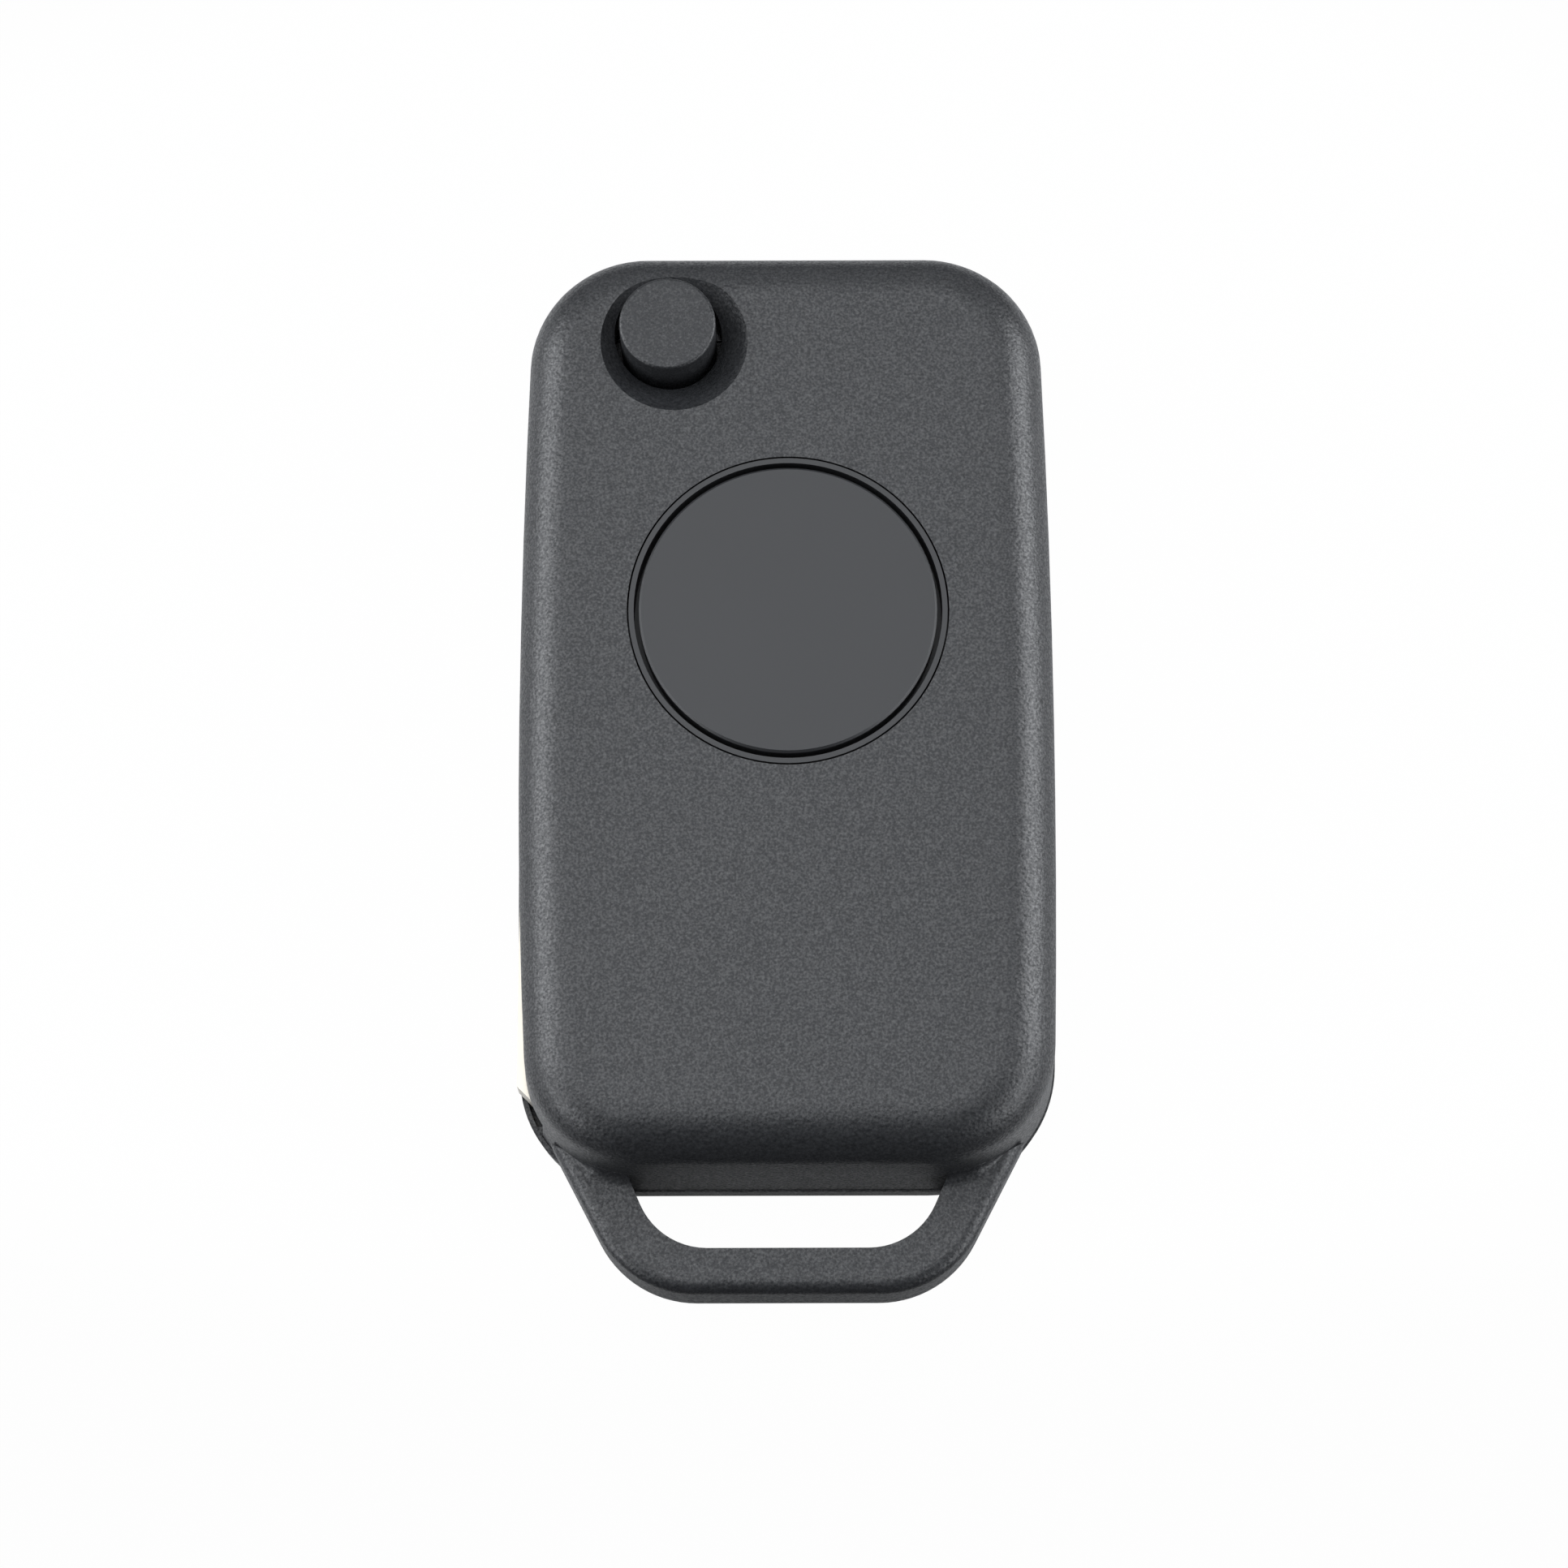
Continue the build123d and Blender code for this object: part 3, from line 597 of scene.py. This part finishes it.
@dataclass(frozen=True)
class ShellCorner:
    """A lower corner of the front shell, at the height of the loop's top.

    Attributes:
        name: The name of the rounding at it.
        middle: The middle of its arc, seen from above, in metres.
        radius: Radius of the arc.
        side: The side of the loop that it is on.
    """

    name: str
    middle: tuple[float, float]
    radius: float
    side: Side


@dataclass
class Shells:
    """Front shell, rear shell and sliding battery cover.

    Attributes:
        corners: The corners from which the key-ring loop grows.
        loop_top: Height of the loop's flat top, in metres.
        hollow: Radius of the hollow rounding at the loop's root.
        sunk: How deep the rounding's back reaches into the shell.
        lean: How far the shell's wall leans inwards, in degrees.
        arc_steps: How many steps the rounding's section has.
        fade_start: Angle on the corner's arc from which the rounding gets smaller, in degrees.
        fade_end: Angle at which it ends.
        corner_steps: How many steps it has along the corner.
        crease: Edges of the rounding that are bent by more degrees stay sharp.
        slot_foot: A point on the right side of the loop's slot.
        slot_root: The point where that side meets the shell.
    """

    corners: tuple[ShellCorner, ...] = (
        ShellCorner("loop_root_right", (9.618 * MM, -19.90 * MM), 8.421 * MM, Side.RIGHT),
        ShellCorner("loop_root_left", (-9.918 * MM, -20.50 * MM), 7.821 * MM, Side.LEFT),
    )
    loop_top: float = 7.5 * MM
    hollow: float = 1.0 * MM
    sunk: float = 0.1 * MM
    lean: float = 2.5
    arc_steps: int = 10
    fade_start: float = 22.0
    fade_end: float = 35.0
    corner_steps: int = 28
    crease: float = 40.0
    slot_foot: tuple[float, float] = (8.6 * MM, -33.05 * MM)
    slot_root: tuple[float, float] = (10.6 * MM, -28.5 * MM)

    def build(self) -> None:
        """Dress the three mouldings and round the root of the loop."""
        plastic = SHELL.material()
        dress(("front_shell", "rear_shell", "battery_cover"), plastic)
        for corner in self.corners:
            form = self.root(corner)
            for edge in bent_edges(form, self.crease):
                edge.smooth = False
            finish_piece(form, corner.name, plastic)

    def root(self, corner: ShellCorner) -> bmesh.types.BMesh:
        """Fill the angle between one corner's wall and the loop's top with a hollow rounding.

        Args:
            corner: The corner.

        Returns:
            The rounding's form.
        """
        form = bmesh.new()
        axis = Vector((*corner.middle, self.loop_top))
        section = self.section(form, axis, corner.radius)
        turn = corner.side.value * math.radians(self.fade_end)
        spin(form, section, axis, turn, self.corner_steps)
        self.fade(form, axis, corner)
        bmesh.ops.remove_doubles(form, verts=form.verts, dist=SAME_PLACE)
        self.trim(form, corner.side.value)
        return form

    def section(
        self, form: bmesh.types.BMesh, axis: Vector, radius: float
    ) -> list[bmesh.types.BMEdge]:
        """Draw the rounding's section in front of a corner's middle.

        Args:
            form: The mesh that takes it.
            axis: The middle of the corner's arc.
            radius: Radius of the arc.

        Returns:
            The section's edges.
        """
        lean = math.radians(self.lean)
        reach = self.hollow * (1 - math.sin(lean)) / math.cos(lean)
        foot = form.verts.new(axis + Vector((0.0, -radius - reach, 0.0)))
        swept = bmesh.ops.spin(
            form,
            geom=[foot],
            cent=foot.co + Vector((0.0, 0.0, self.hollow)),
            axis=(1.0, 0.0, 0.0),
            angle=math.radians(90 - self.lean),
            steps=self.arc_steps,
        )
        head = next(item for item in swept["geom_last"] if isinstance(item, bmesh.types.BMVert))
        arc = list(form.edges)
        inner = -radius + self.sunk
        back = (
            (inner, head.co.z - self.loop_top),
            (inner, -self.sunk),
            (-radius - reach, -self.sunk),
        )
        chain = [head, *(form.verts.new(axis + Vector((0.0, y, z))) for y, z in back), foot]
        section = arc + [form.edges.new(pair) for pair in zip(chain, chain[1:])]
        bmesh.ops.contextual_create(form, geom=section)
        return section

    def fade(self, form: bmesh.types.BMesh, axis: Vector, corner: ShellCorner) -> None:
        """Let the rounding run out towards the outer end of a corner.

        Args:
            form: The mesh that holds it.
            axis: The middle of the corner's arc.
            corner: The corner.
        """
        for vert in form.verts:
            out = Vector((vert.co.x - axis.x, vert.co.y - axis.y, 0.0))
            angle = math.degrees(math.atan2(corner.side.value * out.x, -out.y))
            if angle > self.fade_start:
                wall = axis + out.normalized() * corner.radius
                share = (self.fade_end - angle) / (self.fade_end - self.fade_start)
                vert.co = wall + (vert.co - wall) * max(share, 0.0)

    def trim(self, form: bmesh.types.BMesh, turn: int) -> None:
        """Cut the rounding flush with the side of the loop's slot.

        Args:
            form: The mesh that holds it.
            turn: 1 on the right side of the loop and -1 on the left.
        """
        foot_x, foot_y = self.slot_foot
        root_x, root_y = self.slot_root
        bmesh.ops.bisect_plane(
            form,
            geom=[*form.verts, *form.edges, *form.faces],
            plane_co=Vector((turn * root_x, root_y, 0.0)),
            plane_no=Vector((turn * (foot_y - root_y), root_x - foot_x, 0.0)),
            clear_outer=True,
        )
        bmesh.ops.holes_fill(form, edges=open_edges(form))


@dataclass
class TransmitButton:
    """Round button with its ring and its pad.

    Attributes:
        dome_foot: Radius of the pad's dome where it leaves the plate, in metres.
        dome_top: Radius of the dome's flat top.
        plate: Thickness of the plate around the dome.
        skin: Thickness of the dome.
        pill: Radius of the contact pill under the dome.
        pill_depth: Thickness of the pill.
        corner: Radius of the pad's rounded edges.
        corner_steps: How many steps such a rounding has.
        crease: Edges of the pad that are bent by more degrees are rounded.
        give: How far the pressed button pushes the dome down; not used.
        turn_steps: How many steps a turn of the pad has.
    """

    dome_foot: float = 4.5 * MM
    dome_top: float = 2.4 * MM
    plate: float = 0.7 * MM
    skin: float = 0.7 * MM
    pill: float = 1.2 * MM
    pill_depth: float = 0.25 * MM
    corner: float = 0.10 * MM
    corner_steps: int = 3
    crease: float = 20.0
    give: float = 0.25 * MM
    turn_steps: int = 96

    def build(self) -> None:
        """Dress the disc and the ring around it, and mould the pad under it."""
        dress(("round_button", "button_ring"), BUTTON.material())
        self.pad(SILICONE.material())

    def pad(self, silicone: bpy.types.Material) -> None:
        """Mould the pad with rounded edges and a contact pill.

        Args:
            silicone: Its material.
        """
        axis, reach, top = measure_round(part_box("button_pad"))
        roof = top - self.skin
        profile = (
            (0.0, top),
            (self.dome_top, top),
            (self.dome_foot, self.plate),
            (reach, self.plate),
            (reach, 0.0),
            (self.dome_foot - self.skin, 0.0),
            (self.dome_top - self.skin, roof),
            (self.pill, roof),
            (self.pill, roof - self.pill_depth),
            (0.0, roof - self.pill_depth),
        )
        form = bmesh.new()
        verts = [form.verts.new(axis + Vector((out, 0.0, up))) for out, up in profile]
        section = [form.edges.new(pair) for pair in zip(verts, verts[1:])]
        spin(form, section, axis, math.tau, self.turn_steps)
        bmesh.ops.remove_doubles(form, verts=form.verts, dist=SAME_PLACE)
        bmesh.ops.bevel(
            form,
            geom=bent_edges(form, self.crease),
            offset=self.corner,
            segments=self.corner_steps,
            profile=0.5,
            affect="EDGES",
            material=-1,
        )
        piece = finish_piece(form, "button_pad_moulded", silicone)
        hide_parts("button_pad")
        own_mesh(piece)


@dataclass
class FlipLock:
    """Release button, its spring and what they turn on.

    Attributes:
        wire: Radius of the spring's wire, in metres.
        wire_sides: How many sides the wire has around.
        turn_steps: How many steps a turn of the spring has.
        end_turns: Closed turns at each end of the spring.
        active_turns: Open turns between them.
        press: How far the button shortens the spring, in metres; not used.
    """

    wire: float = 0.30 * MM
    wire_sides: int = 16
    turn_steps: int = 32
    end_turns: float = 1.0
    active_turns: float = 3.5
    press: float = 2.0 * MM

    def build(self) -> None:
        """Dress the button, its seat, the pin and the washer, and wind the spring."""
        steel = STEEL.material()
        dress(("release_button",), RELEASE.material())
        dress(("spring_seat", "blade_pin"), steel)
        dress(("head_washer",), WASHER.material())
        self.spring(steel)

    def spring(self, steel: bpy.types.Material) -> None:
        """Wind the spring of round wire, with a closed turn at each end.

        Args:
            steel: Its material.
        """
        axis, outside, length = measure_round(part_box("flip_spring"))
        height = length - 2 * self.wire
        closed = 2 * self.wire * self.end_turns
        form = bmesh.new()
        bmesh.ops.create_circle(form, radius=self.wire, segments=self.wire_sides)
        bmesh.ops.rotate(form, verts=form.verts, matrix=Matrix.Rotation(math.pi / 2, 3, "X"))
        start = axis + Vector((outside - self.wire, 0.0, self.wire))
        bmesh.ops.translate(form, verts=form.verts, vec=start)
        edges = list(form.edges)
        winding = (
            (self.end_turns, closed),
            (self.active_turns, height - 2 * closed),
            (self.end_turns, closed),
        )
        for turns, rise in winding:
            steps = round(turns * self.turn_steps)
            edges = spin(form, edges, axis, turns * math.tau, steps, rise / steps)
        bmesh.ops.holes_fill(form, edges=open_edges(form))
        piece = finish_piece(form, "flip_spring_wound", steel)
        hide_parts("flip_spring")
        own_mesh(piece)


@dataclass
class FoldedBlade:
    """Blade and its head."""

    def build(self) -> None:
        """Dress the blade and its head."""
        dress(("key_blade",), NICKEL.material())
        dress(("blade_head",), CASTING.material())


@dataclass
class Inside:
    """Frame, chip tray, contacts and the screws with their threads.

    Attributes:
        head: Radius of a screw's head, in metres.
        shank: Radius of its shank.
        crest: Radius of the thread, which bites into the boss.
        pitch: Rise of one turn of the thread.
        flank: Half the thread's width at its root, in pitches.
        sunk: How deep its root reaches into the shank, in pitches.
        thread_start: From the head's face to the thread's first turn.
        thread_turns: How many turns it has.
        turn_steps: How many steps a turn has.
    """

    head: float = 1.75 * MM
    shank: float = 0.85 * MM
    crest: float = 1.03 * MM
    pitch: float = 0.62 * MM
    flank: float = 0.3
    sunk: float = 0.1
    thread_start: float = 1.9 * MM
    thread_turns: int = 6
    turn_steps: int = 24

    def build(self) -> None:
        """Dress everything that the shells hold, and cut the screws' threads."""
        black = SCREW.material()
        dress(("inner_frame", "chip_tray"), FRAME.material())
        dress(("positive_contact", "negative_contact"), CONTACT.material())
        dress(("case_screws", "frame_screws"), black)
        form = bmesh.new()
        for spot in self.spots():
            self.thread(form, spot)
        finish_piece(form, "screw_threads", black)

    def spots(self) -> list[Vector]:
        """Find the middle of each screw's head in the boxes of the two nodes.

        Returns:
            The five places.
        """
        low, high = (Vector(corner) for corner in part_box("case_screws"))
        frame_low, frame_high = (Vector(corner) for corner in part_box("frame_screws"))
        rear_y = high.y - self.head
        end_y = frame_low.y + self.head
        return [
            Vector((low.x + self.head, rear_y, low.z)),
            Vector((frame_high.x - self.head, rear_y, low.z)),
            Vector((high.x - self.head, low.y + self.head, frame_low.z)),
            Vector((frame_high.x - self.head, end_y, frame_low.z)),
            Vector((frame_low.x + self.head, end_y, frame_low.z)),
        ]

    def thread(self, form: bmesh.types.BMesh, spot: Vector) -> None:
        """Add the thread of one screw.

        Args:
            form: The mesh that takes it.
            spot: The middle of the screw's head.
        """
        root = self.shank - self.sunk * self.pitch
        half = self.flank * self.pitch
        first = spot + Vector((0.0, 0.0, self.thread_start))
        corners = ((root, -half), (self.crest, 0.0), (root, half))
        verts = [form.verts.new(first + Vector((out, 0.0, up))) for out, up in corners]
        ridge = [form.edges.new((verts[i - 1], verts[i])) for i in range(len(verts))]
        turn = self.thread_turns * math.tau
        steps = self.thread_turns * self.turn_steps
        last = spin(form, ridge, spot, turn, steps, self.pitch / self.turn_steps)
        for rim in (ridge, last):
            bmesh.ops.contextual_create(form, geom=rim)


@dataclass(frozen=True)
class SoftBox:
    """A soft lamp that faces the object.

    Attributes:
        name: The lamp's name.
        spot: Where it hangs, in metres.
        width: Its width.
        height: Its height.
        power: Its power, in watts.
    """

    name: str
    spot: Triple
    width: float
    height: float
    power: float


@dataclass
class Studio:
    """White table, soft lamps and the camera.

    Attributes:
        image_width: Width of the photograph, in its own pixels.
        pixels_per_mm: Scale at the middle of the photograph, at the distance of the target.
        distance: From the camera to the target, in metres.
        lean: How far the camera leans from straight above towards the key-ring end, in degrees.
        roll: How far the camera is turned about its view, in degrees.
        target: What the camera looks at and the lamps face.
        sensor: Width of the camera's sensor, in millimetres.
        clip: The nearest and the farthest distance that the camera sees.
        lamps: The soft boxes around the object.
        lamp_colour: Colour of their light.
        room_light: Strength of the room's own light.
        table_size: Length of the table's sides.
        painted_pool_middle: The middle of the pool of light painted on the table, along Y.
        painted_pool_shape: How far the painted pool is squeezed along X, Y and Z before it is
            measured.
        painted_light_pool: Distances from its middle, each with the table's grey there; this
            grey is a painted pool of light, pale near the object and dark farther off.
        seen_white: Share of plain white in the table as the camera sees it.
        painted_pool_glow: Share of plain white where a piece mirrors the table, times the
            painted pool's grey there; a painted glow that pieces show as a painted reflection.
    """

    image_width: float = 1932.0
    pixels_per_mm: float = 17.91
    distance: float = 280 * MM
    lean: float = 15.0
    roll: float = -0.14
    target: Triple = (-0.19 * MM, -1.0 * MM, 7.5 * MM)
    sensor: float = 36.0
    clip: tuple[float, float] = (0.01, 10.0)
    lamps: tuple[SoftBox, ...] = (
        SoftBox("lamp_left", (-0.45, 0.14, 0.22), width=0.36, height=0.35, power=2.05),
        SoftBox("lamp_right", (0.45, 0.14, 0.22), width=0.36, height=0.35, power=2.3),
        SoftBox("lamp_above", (-0.09, 0.08, 0.50), width=0.70, height=0.50, power=2.0),
        SoftBox("lamp_back", (0.0, 0.46, 0.16), width=0.60, height=0.20, power=0.3),
        SoftBox("lamp_front_left", (-0.39, -0.21, 0.12), width=0.28, height=0.26, power=0.8),
        SoftBox("lamp_front_right", (0.39, -0.21, 0.12), width=0.28, height=0.26, power=0.8),
    )
    lamp_colour: Triple = (0.95, 0.97, 1.0)
    room_light: float = 0.01
    table_size: float = 3.0
    # The table's grey is a painted pool of light: pale near the object, dark farther off.
    painted_pool_middle: float = 15 * MM
    painted_pool_shape: Triple = (0.5, 1.0, 1.0)
    painted_light_pool: tuple[tuple[float, float], ...] = ((0.048, 0.62), (0.057, 0.04))
    seen_white: float = 0.985
    painted_pool_glow: float = 0.08

    def build(self) -> None:
        """Make the table, the world, the lamps and the camera."""
        self.table()
        self.world()
        for box in self.lamps:
            self.lamp(box)
        self.camera()
        view = bpy.context.scene.view_settings
        view.view_transform = "Standard"

    def lamp(self, box: SoftBox) -> None:
        """Hang one soft box and turn it to the object.

        Args:
            box: The soft box.
        """
        data = bpy.data.lights.new(box.name, "AREA")
        data.shape = "RECTANGLE"
        data.size, data.size_y = box.width, box.height
        data.energy = box.power
        data.color = self.lamp_colour
        lamp = bpy.data.objects.new(box.name, data)
        lamp.location = box.spot
        lamp.rotation_mode = "QUATERNION"
        view = Vector(self.target) - Vector(box.spot)
        lamp.rotation_quaternion = view.to_track_quat("-Z", "Y")
        bpy.context.scene.collection.objects.link(lamp)

    def camera(self) -> None:
        """Add the camera at the photograph's place."""
        data = bpy.data.cameras.new("camera")
        data.sensor_width = self.sensor
        data.lens = self.pixels_per_mm * self.distance / MM * self.sensor / self.image_width
        data.clip_start, data.clip_end = self.clip
        lean = math.radians(self.lean)
        back = Vector((0.0, -math.sin(lean), math.cos(lean)))
        camera = bpy.data.objects.new("camera", data)
        camera.location = Vector(self.target) + back * self.distance
        camera.rotation_mode = "QUATERNION"
        turn = Quaternion((0.0, 0.0, 1.0), math.radians(self.roll))
        camera.rotation_quaternion = (-back).to_track_quat("-Z", "Y") @ turn
        bpy.context.scene.collection.objects.link(camera)
        bpy.context.scene.camera = camera

    def table(self) -> None:
        """Add the white table, which keeps the object's shadow."""
        form = bmesh.new()
        bmesh.ops.create_grid(form, x_segments=1, y_segments=1, size=self.table_size / 2)
        mesh = bpy.data.meshes.new("table_top")
        form.to_mesh(mesh)
        form.free()
        mesh.materials.append(self.table_white())
        table = bpy.data.objects.new("table_top", mesh)
        bpy.context.scene.collection.objects.link(table)

    def table_white(self) -> bpy.types.Material:
        """Wire the table's material, which throws light on the object from a painted pool of
        light alone, pale near the object and dark farther off, and which glossy rays see as a
        painted glow.

        Returns:
            The material.
        """
        material, graph = new_material("table_white")
        spot = graph.place(self.painted_pool_shape, (0.0, -self.painted_pool_middle, 0.0))
        far = graph.node("ShaderNodeVectorMath", {"operation": "LENGTH"}, {0: spot}, "Value")
        # Painted pool of light: the table's grey falls from pale to dark with distance from the
        # object.
        painted_light_pool = graph.node("ShaderNodeValToRGB", {"stops": self.painted_light_pool}, {0: far})
        matt = graph.node("ShaderNodeBsdfDiffuse", None, {"Color": painted_light_pool})
        glow = graph.node("ShaderNodeEmission", None, {"Color": WHITE, "Strength": 1.0})
        seen = graph.ray(Ray.SEEN) * self.seen_white + graph.ray(Ray.THROUGH) * self.seen_white
        # Glossy rays see the painted pool as a painted glow, which pieces mirror as a painted
        # reflection.
        share = seen + graph.ray(Ray.GLOSSY) * painted_light_pool * self.painted_pool_glow
        graph.end(graph.node("ShaderNodeMixShader", None, {0: share, 1: matt, 2: glow}))
        return material

    def world(self) -> None:
        """Give the room a dim light, and white where the camera sees past the table."""
        world = bpy.data.worlds.new("room")
        bpy.context.scene.world = world
        world.use_nodes = True
        graph = Graph(world.node_tree)
        dim = {"Color": WHITE, "Strength": self.room_light}
        room = graph.node("ShaderNodeBackground", None, dim)
        white = graph.node("ShaderNodeBackground", None, {"Color": WHITE, "Strength": 1.0})
        seen = graph.ray(Ray.SEEN)
        shader = graph.node("ShaderNodeMixShader", None, {0: seen, 1: room, 2: white})
        graph.end(shader, "ShaderNodeOutputWorld")


def main() -> None:
    """Build the object's looks and its studio."""
    logging.basicConfig(level=logging.INFO, format="%(name)s: %(message)s")
    for part in (Shells(), TransmitButton(), FlipLock(), FoldedBlade(), Inside(), Studio()):
        part.build()
        LOG.info("%s done", type(part).__name__)


if __name__ == "__main__":
    main()
